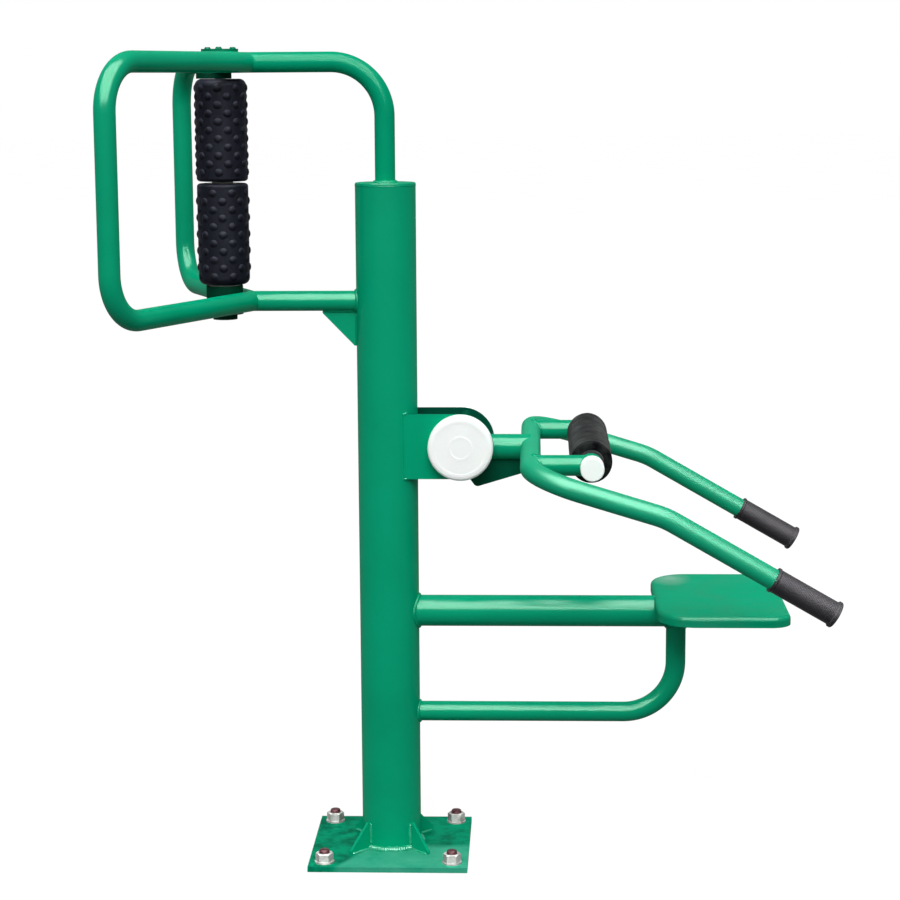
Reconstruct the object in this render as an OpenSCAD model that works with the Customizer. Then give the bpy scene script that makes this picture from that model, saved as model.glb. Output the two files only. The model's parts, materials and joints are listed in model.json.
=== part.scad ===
// Outdoor back roller station, in millimetres.
// The origin is under the base plate, on the axis of the post.
// The back rollers are towards -X, the seat and the lever towards +X, and Y is the depth.

/* [Base plate and anchors] */
// Side of the square base plate
plate_w = 304; // [270:1:380]
// Thickness of the base plate
plate_t = 10; // [6:0.5:16]
// Distance of each anchor hole from the two nearest plate edges
anchor_inset = 30; // [24:1:40]
// Diameter of the anchor holes
anchor_hole_d = 22; // [21:0.5:26]
// Diameter of the anchor bolts that the plate is made for
anchor_d = 20; // [16:1:20]
// How much wider than the bolts the holes in the washers and nuts are
anchor_play = 1.2; // [1:0.1:1.8]
// Width across the flats of the anchor nuts
nut_af = 30; // [27:0.5:34]
// Height of the anchor nuts
nut_h = 16; // [10:0.5:20]
// Outer diameter of the anchor washers
washer_d = 37; // [35:0.5:42]
// Thickness of the anchor washers
washer_t = 3; // [2:0.5:5]
// Length of a foot gusset along the plate
foot_gusset_leg = 50; // [30:1:60]
// Height of a foot gusset up the post
foot_gusset_h = 52; // [30:1:90]
// Thickness of every flat gusset plate
gusset_t = 6; // [4:0.5:10]

/* [Post] */
// Outer diameter of the post
post_d = 114; // [100:1:127]
// Wall of the post
post_wall = 4; // [2.5:0.5:6]
// Height of the top of the post cap above the ground
post_top = 1296; // [1230:1:1350]
// Thickness of the post cap
post_cap_t = 5; // [3:0.5:10]

/* [Roller frame and handle loops] */
// Outer diameter of the frame, loop, fork and support tubes
tube_d = 38; // [34:0.5:42]
// Wall of those tubes
tube_wall = 2.5; // [2:0.5:4]
// Height of the upper frame tube's axis
upper_z = 1519; // [1480:1:1560]
// Height of the lower frame tube's axis
lower_z = 1074; // [1040:1:1110]
// Bend radius of the upper frame tube
frame_bend_r = 100; // [80:1:120]
// Distance from the post axis to the point where the loops branch off
branch_x = 253; // [245:1:265]
// How far the loops' outer bars stand beyond that point, along X
loop_reach = 192; // [170:1:230]
// Distance of each loop's outer bar from the middle plane
loop_half_w = 423; // [400:1:470]
// Bend radius of the loops' corners
loop_bend_r = 85; // [70:1:110]
// Length of the frame gusset along the lower frame tube
frame_gusset_w = 64; // [40:1:90]
// Height of the frame gusset down the post
frame_gusset_h = 66; // [40:1:90]

/* [Roller hubs and shaft] */
// Distance from the post axis to the roller axis
roller_x = 306; // [302:1:318]
// Outer diameter of the two hubs
hub_d = 69; // [66:1:76]
// Height of the upper hub's top above the upper tube's axis
upper_hub_rise = 21; // [19:1:26]
// Height of the lower hub's top above the lower tube's axis
lower_hub_rise = 30; // [24:1:40]
// Depth of the lower hub's shoulder below the lower tube's axis
lower_hub_drop = 24; // [20:1:30]
// Diameter of the plug under the lower hub
hub_plug_d = 46; // [40:1:60]
// Height of that plug
hub_plug_h = 10; // [8:1:20]
// Diameter of the round plate between the upper hub and the upper roller
neck_d = 66; // [60:1:70]
// How far that plate stands off the shaft's axis, away from the post
neck_shift = 12; // [0:1:14]
// Thickness of that plate
neck_h = 10.5; // [6:0.5:16]
// Thickness of the upper hub's cover
cover_t = 4; // [3:0.5:6]
// Diameter of the circle of cover screws
cover_screw_circle = 54; // [46:1:56]
// Shank diameter of the cover screws
cover_screw_d = 6; // [4:0.5:8]
// Number of cover screws
cover_screws_n = 3; // [3:1:4]
// Diameter of the roller shaft
shaft_d = 20; // [16:0.5:25]

/* [Back rollers] */
// Diameter of the rubber between its nubs
roller_d = 96; // [84:1:104]
// Radius of the rounded edge at a roller's outer end
roller_end_r = 13; // [6:0.5:14]
// Radius of the rounded edge where the two rollers meet
roller_seam_r = 6; // [3:0.5:10]
// Height of a nub above the rubber
nub_h = 2.6; // [1.5:0.1:4]
// Radius of the ball that a nub is cut from
nub_ball_r = 12; // [9:0.5:14]
// Number of nub columns round a roller
nub_columns = 16; // [10:2:18]
// Number of nubs in a full column
nub_rows = 6; // [4:1:7]
// Distance from a roller's end to the middle of its first nub
nub_margin = 17; // [12:0.5:22]
// How far the upper roller is turned at rest
upper_roller_turn = 0; // [-20:1:20]
// How far the lower roller is turned at rest
lower_roller_turn = -16; // [-20:1:20]
// Outer diameter of the steel core in the rubber
core_d = 60; // [50:1:64]
// Wall of the core
core_wall = 3; // [2:0.5:5]
// Length of a bush in the core
bush_len = 25; // [15:1:40]
// Outer diameter of the collar between the rollers
collar_d = 40; // [34:1:50]
// Height of that collar
collar_h = 3.6; // [3:0.1:8]
// Thickness of the thrust washer on the lower hub
thrust_t = 2; // [1:0.5:4]

/* [Pivot bracket] */
// Distance from the post axis to the pivot axis
pivot_x = 140; // [136:1:150]
// Height of the pivot axis
pivot_z = 802; // [780:1:830]
// Radius of the bracket plates' round ends
bracket_r = 62; // [60:1:72]
// Thickness of a bracket plate
bracket_t = 6; // [5:0.5:9]
// Width over both bracket plates
bracket_w = 94; // [84:1:104]
// Diameter of the pivot shaft
pivot_d = 25; // [20:0.5:28]
// Width across the flats of the pivot nuts
pivot_nut_af = 36; // [34:1:41]
// Height of a pivot nut
pivot_nut_h = 14; // [10:0.5:18]
// Outer diameter of the washers under the pivot nuts
pivot_washer_d = 44; // [40:1:54]
// Thickness of those washers
pivot_washer_t = 4; // [2:0.5:5]
// Length of shaft that shows beyond each pivot nut
pivot_tip = 5; // [3:0.5:10]
// Diameter of the white pivot covers
pivot_cover_d = 123; // [110:1:124]
// Wall of a pivot cover
pivot_cover_wall = 3; // [2:0.5:4]
// Diameter of the two stop pins between the bracket plates
stop_d = 16; // [12:0.5:18]
// Distance of the stop pins from the pivot axis
stop_reach = 50; // [46:0.5:54]
// Angle that the lever lifts by before it meets the upper stop
lift_max = 50; // [35:1:60]

/* [Lever] */
// Outer diameter of the lever hub
lever_hub_d = 60; // [56:0.5:64]
// Wall of the lever hub
lever_hub_wall = 4; // [3:0.5:6]
// Gap between each end of the lever hub and its bracket plate
lever_hub_gap = 2; // [1.5:0.1:3]
// Width of a pivot bearing
bearing_w = 15; // [10:1:18]
// Diameter of the tube from the hub to the fork
lever_tube_d = 48; // [40:0.5:54]
// Wall of that tube
lever_tube_wall = 3; // [2:0.5:4]
// Height of the fork's cross tube at rest
fork_z = 795; // [780:1:808]
// Distance from the post axis to the fork's cross tube
fork_x = 272; // [262:1:290]
// Distance of each fork arm from the middle plane
fork_half_w = 338; // [320:1:370]
// Radius of the fork's corner bends
fork_bend_r = 95; // [80:1:105]
// Slope of the fork arms before their bend
droop_1 = 17; // [10:0.5:20]
// Slope of the fork arms after their bend
droop_2 = 30; // [24:0.5:36]
// Distance from the post axis to the bend in the fork arms
arm_bend_x = 510; // [480:1:540]
// Radius of the bend in the fork arms
arm_bend_r = 150; // [100:1:200]
// Distance from the post axis to the ends of the grips
grip_end_x = 812; // [780:1:850]
// Thickness of the web plate under the lever tube
web_t = 8; // [5:0.5:12]
// Depth of the web's tip below the pivot axis
web_tip_drop = 74; // [70:1:84]
// Distance of the web's tip beyond the pivot axis
web_tip_x = 31; // [26:1:38]
// Radius of the web's tip
web_tip_r = 9; // [6:0.5:12]

/* [Grips] */
// Length of a grip
grip_len = 129; // [110:1:150]
// Diameter of a grip
grip_d = 44; // [43:0.5:48]
// Diameter of the flange at a grip's end
grip_flange_d = 50; // [49:0.5:56]
// Thickness of that flange
grip_flange_t = 6; // [4:0.5:9]

/* [Foam roller] */
// Distance from the post axis to the foam roller's axis
axle_x = 383; // [372:1:400]
// Distance of each stub tube from the middle plane
stub_y = 214; // [205:1:222]
// Half the length of the foam roller's axle
axle_half = 260; // [248:1:275]
// Diameter of the foam
foam_d = 79; // [70:1:90]
// Length of the foam
foam_len = 361; // [330:1:372]
// Outer diameter of the plastic liner in the foam
liner_d = 46; // [43.5:0.5:50]
// Outer diameter of the axle's white end caps
end_cap_d = 43; // [42:0.5:48]
// Thickness of the closed end of those caps
end_cap_t = 3.5; // [2:0.5:6]

/* [Seat] */
// Diameter of the seat beam
beam_d = 60; // [50:1:70]
// Wall of the seat beam
beam_wall = 3; // [2:0.5:5]
// Height of the seat beam's axis
beam_z = 475; // [450:1:500]
// Distance of the seat beam's far end from the seat's far edge
beam_end_inset = 53; // [40:1:80]
// Height of the support tube's horizontal stretch
support_z = 275; // [250:1:300]
// Distance from the post axis to the support tube's upright stretch
support_x = 551; // [535:1:570]
// Bend radius of the support tube
support_bend_r = 100; // [80:1:120]
// Distance from the post axis to the seat's edge nearest the post
seat_start_x = 508; // [495:1:512]
// Size of the seat along X
seat_len = 245; // [235:1:300]
// Size of the seat across, along Y
seat_w = 378; // [320:1:420]
// Radius of the seat's two corners nearest the post
seat_corner_r = 72; // [50:1:100]
// Radius of its two outer corners
seat_outer_r = 38; // [25:1:100]
// Thickness of the seat sheet
seat_t = 2.5; // [2:0.5:4]
// Depth of the seat's turned-down rim
seat_rim = 20; // [16:1:30]
// Radius of the fold between the seat's top and its rim
seat_fold_r = 9; // [6:0.5:12]
// Distance of each seat rib's middle from the nearest edge of the seat
seat_rib_inset = 60.5; // [50:0.5:80]
// Distance of the ribs' ends from the seat's rim
seat_rib_end = 15; // [10:1:30]

/* [Clearances] */
// Gap between welded pieces, where one is shaped to meet the other
weld_gap = 0.15; // [0.05:0.05:0.4]
// Radial clearance of a piece that is held still in or on another
seat_fit = 0.05; // [0.02:0.01:0.1]
// Radial running clearance of bushes, bearings and liners
run_fit = 0.06; // [0.02:0.01:0.1]
// Gap between faces that turn past each other, and between a stop and what it stops
face_gap = 0.3; // [0.2:0.1:0.6]

/* [Hidden] */
$fn = 64;

paint_green = [0.02, 0.56, 0.41];
rubber_black = [0.12, 0.13, 0.15];
cover_white = [0.95, 0.96, 0.95];
bare_steel = [0.68, 0.69, 0.70];
bush_white = [0.85, 0.85, 0.80];
grain = 1;
anchor_at = plate_w / 2 - anchor_inset;
anchor_places = [[-1, -1], [1, -1], [1, 1], [-1, 1]];
loop_run = sqrt(pow(loop_reach, 2) + pow(loop_half_w, 2));
loop_turn = atan2(loop_half_w, loop_reach);
loop_height = upper_z - lower_z;
upper_hub_bottom = upper_z - tube_d / 2;
upper_hub_top = upper_z + upper_hub_rise;
lower_hub_top = lower_z + lower_hub_rise;
lower_hub_shoulder = lower_z - lower_hub_drop;
hub_floor = 8;
shaft_bottom = lower_hub_shoulder - hub_plug_h + hub_floor;
stack_bottom = lower_hub_top + thrust_t + face_gap;
stack_top = upper_hub_bottom - neck_h - face_gap;
roller_len = (stack_top - stack_bottom - collar_h - 2 * face_gap) / 2;
collar_z = stack_bottom + roller_len + face_gap;
upper_roller_z = stack_top - roller_len;
screw_turn = 34;
screw_bite = 12;
screw_head_d = 2.2 * cover_screw_d;
screw_head_h = 0.6 * cover_screw_d;
bracket_inner = bracket_w / 2 - bracket_t;
lever_hub_half = bracket_inner - lever_hub_gap;
nut_face = bracket_w / 2 + pivot_washer_t + pivot_nut_h;
shaft_half = nut_face + pivot_tip;
cover_inside = nut_face - bracket_w / 2 + pivot_tip + 1;
pivot_cover_depth = cover_inside + pivot_cover_wall;
fork_offset = fork_z - pivot_z;
stop_clear = stop_d / 2 + face_gap;
web_tip = [web_tip_x, -web_tip_drop];
web_hub_r = lever_hub_d / 2 - 2;
web_reach = norm(web_tip);
web_lean = (web_hub_r - web_tip_r) / web_reach;
web_along = web_tip / web_reach;
web_side = [web_along[1], -web_along[0]];
web_normal = web_lean * web_along + sqrt(1 - web_lean * web_lean) * web_side;
web_edge = [-web_normal[1], web_normal[0]];
lower_stop_off = web_hub_r + stop_clear;
lower_stop_slide = sqrt(pow(stop_reach, 2) - pow(lower_stop_off, 2));
lower_stop = web_normal * lower_stop_off + web_edge * lower_stop_slide;
upper_stop_off = fork_offset + lever_tube_d / 2 + stop_clear;
upper_stop_slide = sqrt(pow(stop_reach, 2) - pow(upper_stop_off, 2));
upper_stop = [
    cos(lift_max) * upper_stop_slide - sin(lift_max) * upper_stop_off,
    sin(lift_max) * upper_stop_slide + cos(lift_max) * upper_stop_off];
arm_turn = droop_2 - droop_1;
arm_trim = arm_bend_r * tan(arm_turn / 2);
arm_1 = (arm_bend_x - fork_x) / cos(droop_1);
arm_2 = (grip_end_x - arm_bend_x) / cos(droop_2);
grip_floor = 4;
bend_overlap = 0.5;
bend_slim = 0.02;
frame_stub = 4;
upper_bend_r = min(frame_bend_r, upper_z - post_top - frame_stub);
grip_ring_d = (grip_d + grip_flange_d) / 2;
stub_side = stub_y + tube_d / 2;
liner_half = stub_y - tube_d / 2 - 0.5;
seat_under = beam_z + beam_d / 2 + weld_gap;
seat_top = seat_under + seat_t;
seat_mid_x = seat_start_x + seat_len / 2;
beam_end_x = seat_start_x + seat_len - beam_end_inset;
seat_rib_x = seat_len / 2 - seat_rib_inset;
rib_t = 5;
rib_h = seat_rim - seat_t - 2;

// A straight hollow tube from the origin up to length, with any children at its end
// The amounts before and after lengthen the tube into its neighbours
module tube_run(d, wall, length, before = 0, after = 0) {
    translate([0, 0, -before]) linear_extrude(before + length + after) difference() {
        circle(d = d);
        circle(d = d - 2 * wall);
    }
    translate([0, 0, length]) children();
}

// A bent hollow tube that leaves the origin upwards and turns towards +X, with any children at its end
module tube_bend(d, wall, radius, angle) {
    translate([radius, 0, 0]) rotate([90, 0, 180]) rotate_extrude(angle = angle) translate([radius, 0])
        difference() {
            circle(d = d);
            circle(d = d - 2 * wall);
        }
    translate([radius * (1 - cos(angle)), 0, radius * sin(angle)]) rotate([0, angle, 0]) children();
}

// A tube's outer space, from the origin upwards, widened by the weld gap
module cope(d, length) {
    cylinder(d = d + 2 * weld_gap, h = length);
}

// A flat ring from the origin upwards
module ring(outer_d, inner_d, height) {
    difference() {
        cylinder(d = outer_d, h = height);
        translate([0, 0, -grain]) cylinder(d = inner_d, h = height + 2 * grain);
    }
}

// A hexagon nut from the origin upwards, with its outer corners cut round at the top
module hex_nut(across_flats, bore, height) {
    corner_d = across_flats / cos(30);
    difference() {
        intersection() {
            cylinder(d = corner_d, h = height, $fn = 6);
            union() {
                cylinder(d = corner_d + grain, h = height - 2);
                translate([0, 0, height - 2]) cylinder(d1 = corner_d + grain, d2 = across_flats - 2, h = 2);
            }
        }
        translate([0, 0, -grain]) cylinder(d = bore, h = height + 2 * grain);
    }
}

module at_anchors() {
    for (place = anchor_places) translate([place[0] * anchor_at, place[1] * anchor_at, 0]) children();
}

module base_plate() {
    color(paint_green) difference() {
        translate([-plate_w / 2, -plate_w / 2, 0]) cube([plate_w, plate_w, plate_t]);
        at_anchors() translate([0, 0, -grain]) cylinder(d = anchor_hole_d, h = plate_t + 2 * grain);
    }
}

module foot_gussets() {
    outer = post_d / 2 + foot_gusset_leg;
    color(paint_green) difference() {
        for (turn = [45:90:315]) rotate([0, 0, turn]) translate([0, gusset_t / 2, plate_t])
            rotate([90, 0, 0]) linear_extrude(gusset_t)
                polygon([[post_d / 4, 0], [outer, 0], [outer, 5], [post_d / 2 + 6, foot_gusset_h], [post_d / 4, foot_gusset_h]]);
        translate([0, 0, plate_t - grain]) cope(post_d, foot_gusset_h + 2 * grain);
    }
}

module anchor_washers() {
    color(bare_steel) at_anchors() translate([0, 0, plate_t]) ring(washer_d, anchor_d + anchor_play, washer_t);
}

module anchor_nuts() {
    color(bare_steel) at_anchors() translate([0, 0, plate_t + washer_t]) hex_nut(nut_af, anchor_d + anchor_play, nut_h);
}

module post_tube() {
    color(paint_green) translate([0, 0, plate_t])
        ring(post_d, post_d - 2 * post_wall, post_top - post_cap_t - plate_t);
}

module post_cap() {
    bevel = 1.5;
    color(paint_green) translate([0, 0, post_top - post_cap_t]) union() {
        cylinder(d = post_d, h = post_cap_t - bevel);
        translate([0, 0, post_cap_t - bevel]) cylinder(d1 = post_d, d2 = post_d - 2 * bevel, h = bevel);
    }
}

module upper_frame_tube() {
    color(paint_green) translate([0, 0, post_top]) rotate([0, 0, 180])
        tube_run(tube_d, tube_wall, upper_z - post_top - upper_bend_r)
            tube_bend(tube_d, tube_wall, upper_bend_r, 90)
                tube_run(tube_d, tube_wall, branch_x - upper_bend_r);
}

module lower_frame_tube() {
    color(paint_green) difference() {
        translate([0, 0, lower_z]) rotate([0, -90, 0]) tube_run(tube_d, tube_wall, branch_x);
        translate([0, 0, lower_z - tube_d]) cope(post_d, 2 * tube_d);
    }
}

module frame_gusset() {
    inside_post = 10;
    corner = inside_post - post_d / 2;
    tube_side = lower_z - tube_d / 2;
    color(paint_green) difference() {
        translate([0, gusset_t / 2, 0]) rotate([90, 0, 0]) linear_extrude(gusset_t)
            polygon([
                [corner, tube_side + 5], [-post_d / 2 - frame_gusset_w, tube_side + 5],
                [-post_d / 2 - frame_gusset_w, tube_side - 4], [-post_d / 2 - 4, tube_side - frame_gusset_h],
                [corner, tube_side - frame_gusset_h]]);
        translate([0, 0, tube_side - frame_gusset_h - grain]) cope(post_d, frame_gusset_h + tube_d);
        translate([0, 0, lower_z]) rotate([0, -90, 0]) cope(tube_d, branch_x);
    }
}

// The near loop leaves the branch point, goes up at its outer bar and comes back
module near_handle_loop() {
    back = tube_d / 2;
    leg = loop_run - loop_bend_r;
    color(paint_green) difference() {
        translate([-branch_x, 0, lower_z]) rotate([0, 0, 180 + loop_turn]) rotate([0, 90, 0])
            rotate([0, 0, 180]) translate([0, 0, -back])
                tube_run(tube_d, tube_wall, leg + back)
                    tube_bend(tube_d, tube_wall, loop_bend_r, 90)
                        tube_run(tube_d, tube_wall, loop_height - 2 * loop_bend_r)
                            tube_bend(tube_d, tube_wall, loop_bend_r, 90)
                                tube_run(tube_d, tube_wall, leg + back);
        for (z = [lower_z, upper_z]) translate([-branch_x, 0, z]) rotate([0, 90, 0]) cope(tube_d, branch_x);
        translate([-roller_x, 0, lower_z - tube_d]) cope(hub_d, loop_height + 2 * tube_d);
        translate([-branch_x - loop_reach, -weld_gap / 2, lower_z - tube_d])
            cube([2 * loop_reach, 3 * tube_d, loop_height + 2 * tube_d]);
    }
}

module far_handle_loop() {
    mirror([0, 1, 0]) near_handle_loop();
}

module at_roller(z) {
    translate([-roller_x, 0, z]) children();
}

module at_cover_screws(z) {
    at_roller(z) for (k = [0:cover_screws_n - 1]) rotate([0, 0, screw_turn + k * 360 / cover_screws_n])
        translate([cover_screw_circle / 2, 0, 0]) children();
}

module upper_hub() {
    color(paint_green) difference() {
        at_roller(upper_hub_bottom) ring(hub_d, shaft_d + 2 * seat_fit, upper_hub_top - upper_hub_bottom);
        at_cover_screws(upper_hub_top - screw_bite - 1)
            cylinder(d = cover_screw_d + 2 * seat_fit, h = screw_bite + 1 + grain);
    }
}

module lower_hub() {
    color(paint_green) difference() {
        union() {
            at_roller(lower_hub_shoulder) cylinder(d = hub_d, h = lower_hub_top - lower_hub_shoulder);
            at_roller(lower_hub_shoulder - hub_plug_h) cylinder(d = hub_plug_d, h = hub_plug_h);
        }
        at_roller(shaft_bottom) cylinder(d = shaft_d + 2 * seat_fit, h = lower_hub_top);
    }
}

module hub_cover() {
    color(paint_green) difference() {
        at_roller(upper_hub_top) cylinder(d = hub_d, h = cover_t);
        at_cover_screws(upper_hub_top - grain) cylinder(d = cover_screw_d + 0.6, h = cover_t + 2 * grain);
    }
}

module cover_screws() {
    color(paint_green) at_cover_screws(upper_hub_top) {
        translate([0, 0, -screw_bite]) cylinder(d = cover_screw_d, h = screw_bite + cover_t);
        translate([0, 0, cover_t]) cylinder(d1 = screw_head_d, d2 = 0.7 * screw_head_d, h = screw_head_h);
    }
}

module neck_ring() {
    color(paint_green) at_roller(upper_hub_bottom - neck_h) difference() {
        translate([-neck_shift, 0, 0]) cylinder(d = neck_d, h = neck_h);
        translate([0, 0, -grain]) cylinder(d = shaft_d + 2 * seat_fit, h = neck_h + 2 * grain);
    }
}

module roller_shaft() {
    color(bare_steel) at_roller(shaft_bottom) cylinder(d = shaft_d, h = upper_hub_top - shaft_bottom);
}

module middle_collar() {
    color(bare_steel) at_roller(collar_z) ring(collar_d, shaft_d + 2 * seat_fit, collar_h);
}

module thrust_washer() {
    color(bush_white) at_roller(lower_hub_top) ring(core_d, shaft_d + 2 * seat_fit, thrust_t);
}

// Rubber of one back roller, standing on its seam end, with staggered columns of domed nubs
module roller_rubber() {
    wall = roller_d / 2 - core_d / 4;
    nub_axis_r = roller_d / 2 + nub_h - nub_ball_r;
    nub_step = (roller_len - 2 * nub_margin) / (nub_rows - 1);
    difference() {
        union() {
            rotate_extrude() translate([core_d / 4, 0]) {
                square([wall - roller_end_r, roller_len]);
                square([wall - roller_seam_r, roller_len / 2]);
                translate([0, roller_seam_r]) square([wall, roller_len - roller_end_r - roller_seam_r]);
                translate([wall - roller_end_r, roller_len - roller_end_r]) circle(r = roller_end_r);
                translate([wall - roller_seam_r, roller_seam_r]) circle(r = roller_seam_r);
            }
            for (column = [0:nub_columns - 1], row = [0:nub_rows - 1 - column % 2])
                rotate([0, 0, column * 360 / nub_columns])
                    translate([nub_axis_r, 0, nub_margin + (row + column % 2 / 2) * nub_step])
                        sphere(r = nub_ball_r, $fn = 32);
        }
        translate([0, 0, -grain]) cylinder(d = core_d + 2 * seat_fit, h = roller_len + 2 * grain);
    }
}

module roller_core() {
    ring(core_d, core_d - 2 * core_wall, roller_len);
}

module roller_bushes() {
    for (z = [0, roller_len - bush_len]) translate([0, 0, z])
        ring(core_d - 2 * core_wall - 2 * seat_fit, shaft_d + 2 * run_fit, bush_len);
}

module upper_roller_rubber() {
    color(rubber_black) at_roller(upper_roller_z) rotate([0, 0, upper_roller_turn]) roller_rubber();
}

module lower_roller_rubber() {
    color(rubber_black) at_roller(stack_bottom + roller_len) mirror([0, 0, 1])
        rotate([0, 0, lower_roller_turn]) roller_rubber();
}

module upper_roller_core() {
    color(bare_steel) at_roller(upper_roller_z) roller_core();
}

module lower_roller_core() {
    color(bare_steel) at_roller(stack_bottom) roller_core();
}

module upper_roller_bushes() {
    color(bush_white) at_roller(upper_roller_z) roller_bushes();
}

module lower_roller_bushes() {
    color(bush_white) at_roller(stack_bottom) roller_bushes();
}

// Children are drawn round the pivot axis, with their own Z along the depth
module at_pivot() {
    translate([pivot_x, 0, pivot_z]) rotate([90, 0, 0]) children();
}

// Children are drawn from a bracket side outwards: side is 1 for the near one and -1 for the far one
module at_pivot_side(side, depth) {
    translate([pivot_x, -side * depth, pivot_z]) rotate([side * 90, 0, 0]) children();
}

module bracket_plate(side) {
    difference() {
        translate([0, -side * (bracket_w - bracket_t) / 2, pivot_z]) rotate([90, 0, 0])
            linear_extrude(bracket_t, center = true) difference() {
                union() {
                    translate([0, -bracket_r]) square([pivot_x, 2 * bracket_r]);
                    translate([pivot_x, 0]) circle(r = bracket_r);
                }
                translate([pivot_x, 0]) circle(d = pivot_d + 2 * seat_fit);
            }
        translate([0, 0, pivot_z - bracket_r - grain]) cope(post_d, 2 * bracket_r + 2 * grain);
    }
}

module near_bracket_plate() {
    color(paint_green) bracket_plate(1);
}

module far_bracket_plate() {
    color(paint_green) bracket_plate(-1);
}

module stop_pins() {
    color(bare_steel) for (stop = [lower_stop, upper_stop]) at_pivot() translate([stop[0], stop[1], -bracket_inner])
        cylinder(d = stop_d, h = 2 * bracket_inner);
}

module pivot_shaft() {
    color(bare_steel) at_pivot() translate([0, 0, -shaft_half]) cylinder(d = pivot_d, h = 2 * shaft_half);
}

module pivot_spacers() {
    color(bare_steel) for (side = [1, -1]) at_pivot_side(side, lever_hub_half + face_gap)
        ring(1.4 * pivot_d, pivot_d + 2 * seat_fit, lever_hub_gap - face_gap);
}

module pivot_washers() {
    color(bare_steel) for (side = [1, -1]) at_pivot_side(side, bracket_w / 2)
        ring(pivot_washer_d, pivot_d + 2 * seat_fit, pivot_washer_t);
}

module pivot_nuts() {
    color(bare_steel) for (side = [1, -1]) at_pivot_side(side, bracket_w / 2 + pivot_washer_t)
        hex_nut(pivot_nut_af, pivot_d + 2 * seat_fit, pivot_nut_h);
}

// A hollow cover that stands on the bracket plate and slips over the shaft's end
module pivot_cover() {
    rim_r = pivot_cover_d / 2;
    round_r = 7;
    lip = 4;
    ring_w = 5;
    ring_h = 0.6;
    socket_start = nut_face - bracket_w / 2 + face_gap;
    difference() {
        union() {
            rotate_extrude() {
                square([rim_r - round_r, pivot_cover_depth]);
                square([rim_r, pivot_cover_depth - round_r]);
                translate([rim_r - round_r, pivot_cover_depth - round_r]) circle(r = round_r);
            }
            for (share = [0.34, 0.83]) translate([0, 0, pivot_cover_depth - grain])
                ring(share * pivot_cover_d + ring_w, share * pivot_cover_d - ring_w, grain + ring_h);
        }
        translate([0, 0, -grain]) rotate_extrude() square([rim_r - pivot_cover_wall, cover_inside + grain - lip]);
        translate([0, 0, -grain]) rotate_extrude() square([rim_r - pivot_cover_wall - lip, cover_inside + grain]);
    }
    translate([0, 0, socket_start])
        ring(pivot_d + 8, pivot_d + 2 * seat_fit, cover_inside - socket_start);
}

module near_pivot_cover() {
    color(cover_white) at_pivot_side(1, bracket_w / 2) pivot_cover();
}

module far_pivot_cover() {
    color(cover_white) at_pivot_side(-1, bracket_w / 2) pivot_cover();
}

module lever_hub() {
    color(paint_green) at_pivot() translate([0, 0, -lever_hub_half])
        ring(lever_hub_d, lever_hub_d - 2 * lever_hub_wall, 2 * lever_hub_half);
}

module pivot_bearings() {
    color(bare_steel) for (side = [1, -1]) at_pivot_side(side, lever_hub_half - bearing_w)
        ring(lever_hub_d - 2 * lever_hub_wall - 2 * seat_fit, pivot_d + 2 * run_fit, bearing_w);
}

// Outer spaces of the lever hub and of the fork's cross tube, which other lever pieces are shaped to
module lever_copes() {
    at_pivot() translate([0, 0, -bracket_w / 2]) cope(lever_hub_d, bracket_w);
    translate([fork_x, fork_half_w, fork_z]) rotate([90, 0, 0]) cope(tube_d, 2 * fork_half_w);
}

module lever_tube() {
    color(paint_green) difference() {
        translate([pivot_x, 0, fork_z]) rotate([0, 90, 0]) tube_run(lever_tube_d, lever_tube_wall, fork_x - pivot_x);
        lever_copes();
    }
}

module lever_web() {
    reach = fork_x - pivot_x;
    nose_r = 8;
    nose_drop = 40;
    end_r = 2;
    end_drop = 10;
    color(paint_green) difference() {
        translate([pivot_x, 0, pivot_z]) rotate([90, 0, 0]) linear_extrude(web_t, center = true) hull() {
            circle(r = web_hub_r);
            translate(web_tip) circle(r = web_tip_r);
            translate([reach - nose_r, fork_offset - nose_drop]) circle(r = nose_r);
            translate([reach, fork_offset - end_drop]) circle(r = end_r);
        }
        lever_copes();
        translate([pivot_x, 0, fork_z]) rotate([0, 90, 0]) cope(lever_tube_d, reach);
        translate([pivot_x - reach, -web_t, fork_z]) cube([2 * reach + tube_d, 2 * web_t, tube_d + lever_tube_d]);
    }
}

// The near half of the fork, from the middle of its cross tube to the open end in the grip
// Its shallow arm bend is a hair slimmer than the straight tubes, which reach a little way over it
module fork_half() {
    arm_end = arm_2 - arm_trim - grip_floor - face_gap;
    translate([fork_x, 0, fork_z]) rotate([0, droop_1, 0]) rotate([90, 0, 0])
        tube_run(tube_d, tube_wall, fork_half_w - fork_bend_r)
            tube_bend(tube_d, tube_wall, fork_bend_r, 90)
                tube_run(tube_d, tube_wall, arm_1 - fork_bend_r - arm_trim, 0, bend_overlap)
                    rotate([0, 0, -90])
                        tube_bend(tube_d - 2 * bend_slim, tube_wall - 2 * bend_slim, arm_bend_r, arm_turn)
                            tube_run(tube_d, tube_wall, arm_end, bend_overlap, 0);
}

module lever_fork() {
    color(paint_green) {
        fork_half();
        mirror([0, 1, 0]) fork_half();
    }
}

module fork_stubs() {
    color(paint_green) difference() {
        for (y = [-stub_y, stub_y]) translate([fork_x, y, fork_z]) rotate([0, 90, 0])
            tube_run(tube_d, tube_wall, axle_x - fork_x);
        lever_copes();
        translate([axle_x, axle_half, fork_z]) rotate([90, 0, 0]) cope(tube_d, 2 * axle_half);
    }
}

module at_axle() {
    translate([axle_x, 0, fork_z]) rotate([90, 0, 0]) children();
}

module foam_axle() {
    color(paint_green) at_axle() translate([0, 0, -axle_half]) tube_run(tube_d, tube_wall, 2 * axle_half);
}

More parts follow.
